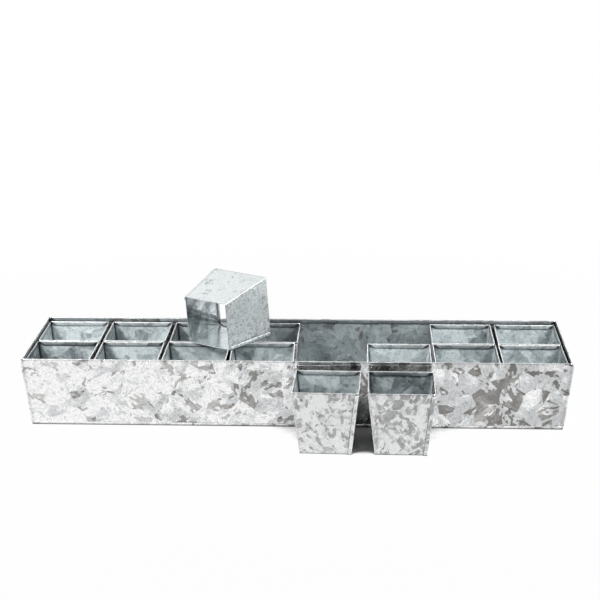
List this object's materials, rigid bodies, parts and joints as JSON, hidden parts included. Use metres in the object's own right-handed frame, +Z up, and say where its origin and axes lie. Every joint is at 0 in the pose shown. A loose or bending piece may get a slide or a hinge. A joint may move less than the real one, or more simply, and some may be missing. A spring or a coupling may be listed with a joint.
{
  "type": "herb planter",
  "caption": "Long galvanised sheet-steel trough with rows of loose square tapered pots, open at both ends, that lift out one by one.",
  "frame": {"origin": "centre of the trough's underside, at the level of the surface that it stands on", "axes": "+X along the trough, to the right as seen from the front; -Y towards the front, where the two standing pots are; +Z up"},
  "size_m": [0.7636, 0.2938, 0.1844],
  "materials": {
    "trough_steel": "hot-dip galvanised with a large spangle, satin",
    "pot_steel": "hot-dip galvanised with a fine spangle, satin"
  },
  "bodies": {
    "trough": {"trough_front_wall": "trough_steel", "trough_back_wall": "trough_steel", "trough_left_end": "trough_steel", "trough_right_end": "trough_steel", "trough_base": "trough_steel"},
    "pot_back_1": {"pot_back_1_front_sheet": "pot_steel", "pot_back_1_rear_sheet": "pot_steel"},
    "pot_back_2": {"pot_back_2_front_sheet": "pot_steel", "pot_back_2_rear_sheet": "pot_steel"},
    "pot_back_3": {"pot_back_3_front_sheet": "pot_steel", "pot_back_3_rear_sheet": "pot_steel"},
    "pot_back_4": {"pot_back_4_front_sheet": "pot_steel", "pot_back_4_rear_sheet": "pot_steel"},
    "pot_back_7": {"pot_back_7_front_sheet": "pot_steel", "pot_back_7_rear_sheet": "pot_steel"},
    "pot_back_8": {"pot_back_8_front_sheet": "pot_steel", "pot_back_8_rear_sheet": "pot_steel"},
    "pot_front_1": {"pot_front_1_front_sheet": "pot_steel", "pot_front_1_rear_sheet": "pot_steel"},
    "pot_front_2": {"pot_front_2_front_sheet": "pot_steel", "pot_front_2_rear_sheet": "pot_steel"},
    "pot_front_3": {"pot_front_3_front_sheet": "pot_steel", "pot_front_3_rear_sheet": "pot_steel"},
    "pot_front_4": {"pot_front_4_front_sheet": "pot_steel", "pot_front_4_rear_sheet": "pot_steel"},
    "pot_front_6": {"pot_front_6_front_sheet": "pot_steel", "pot_front_6_rear_sheet": "pot_steel"},
    "pot_front_7": {"pot_front_7_front_sheet": "pot_steel", "pot_front_7_rear_sheet": "pot_steel"},
    "pot_front_8": {"pot_front_8_front_sheet": "pot_steel", "pot_front_8_rear_sheet": "pot_steel"},
    "pot_standing_left": {"pot_standing_left_front_sheet": "pot_steel", "pot_standing_left_rear_sheet": "pot_steel"},
    "pot_standing_right": {"pot_standing_right_front_sheet": "pot_steel", "pot_standing_right_rear_sheet": "pot_steel"},
    "pot_lying": {"pot_lying_front_sheet": "pot_steel", "pot_lying_rear_sheet": "pot_steel"}
  },
  "joints": [
    {"name": "lift_back_1", "type": "slide", "parent": "trough", "child": "pot_back_1", "axis": [0, 0, 1], "range_m": [0, 0.12]},
    {"name": "lift_back_2", "type": "slide", "parent": "trough", "child": "pot_back_2", "axis": [0, 0, 1], "range_m": [0, 0.12]},
    {"name": "lift_back_3", "type": "slide", "parent": "trough", "child": "pot_back_3", "axis": [0, 0, 1], "range_m": [0, 0.12]},
    {"name": "lift_back_4", "type": "slide", "parent": "trough", "child": "pot_back_4", "axis": [0, 0, 1], "range_m": [0, 0.12]},
    {"name": "lift_back_7", "type": "slide", "parent": "trough", "child": "pot_back_7", "axis": [0, 0, 1], "range_m": [0, 0.12]},
    {"name": "lift_back_8", "type": "slide", "parent": "trough", "child": "pot_back_8", "axis": [0, 0, 1], "range_m": [0, 0.12]},
    {"name": "lift_front_1", "type": "slide", "parent": "trough", "child": "pot_front_1", "axis": [0, 0, 1], "range_m": [0, 0.12]},
    {"name": "lift_front_2", "type": "slide", "parent": "trough", "child": "pot_front_2", "axis": [0, 0, 1], "range_m": [0, 0.12]},
    {"name": "lift_front_3", "type": "slide", "parent": "trough", "child": "pot_front_3", "axis": [0, 0, 1], "range_m": [0, 0.12]},
    {"name": "lift_front_4", "type": "slide", "parent": "trough", "child": "pot_front_4", "axis": [0, 0, 1], "range_m": [0, 0.12]},
    {"name": "lift_front_6", "type": "slide", "parent": "trough", "child": "pot_front_6", "axis": [0, 0, 1], "range_m": [0, 0.12]},
    {"name": "lift_front_7", "type": "slide", "parent": "trough", "child": "pot_front_7", "axis": [0, 0, 1], "range_m": [0, 0.12]},
    {"name": "lift_front_8", "type": "slide", "parent": "trough", "child": "pot_front_8", "axis": [0, 0, 1], "range_m": [0, 0.12]},
    {"name": "lift_standing_left", "type": "slide", "parent": "trough", "child": "pot_standing_left", "axis": [0, 0, 1], "range_m": [0, 0.12]},
    {"name": "lift_standing_right", "type": "slide", "parent": "trough", "child": "pot_standing_right", "axis": [0, 0, 1], "range_m": [0, 0.12]},
    {"name": "lift_lying", "type": "slide", "parent": "trough", "child": "pot_lying", "axis": [0, 0, 1], "range_m": [0, 0.27]}
  ],
  "couplings": [
    {"joint": "lift_back_3", "follows": "lift_lying", "ratio": 0.44},
    {"joint": "lift_back_4", "follows": "lift_lying", "ratio": 0.44},
    {"joint": "lift_front_3", "follows": "lift_lying", "ratio": 0.44},
    {"joint": "lift_front_4", "follows": "lift_lying", "ratio": 0.44}
  ]
}
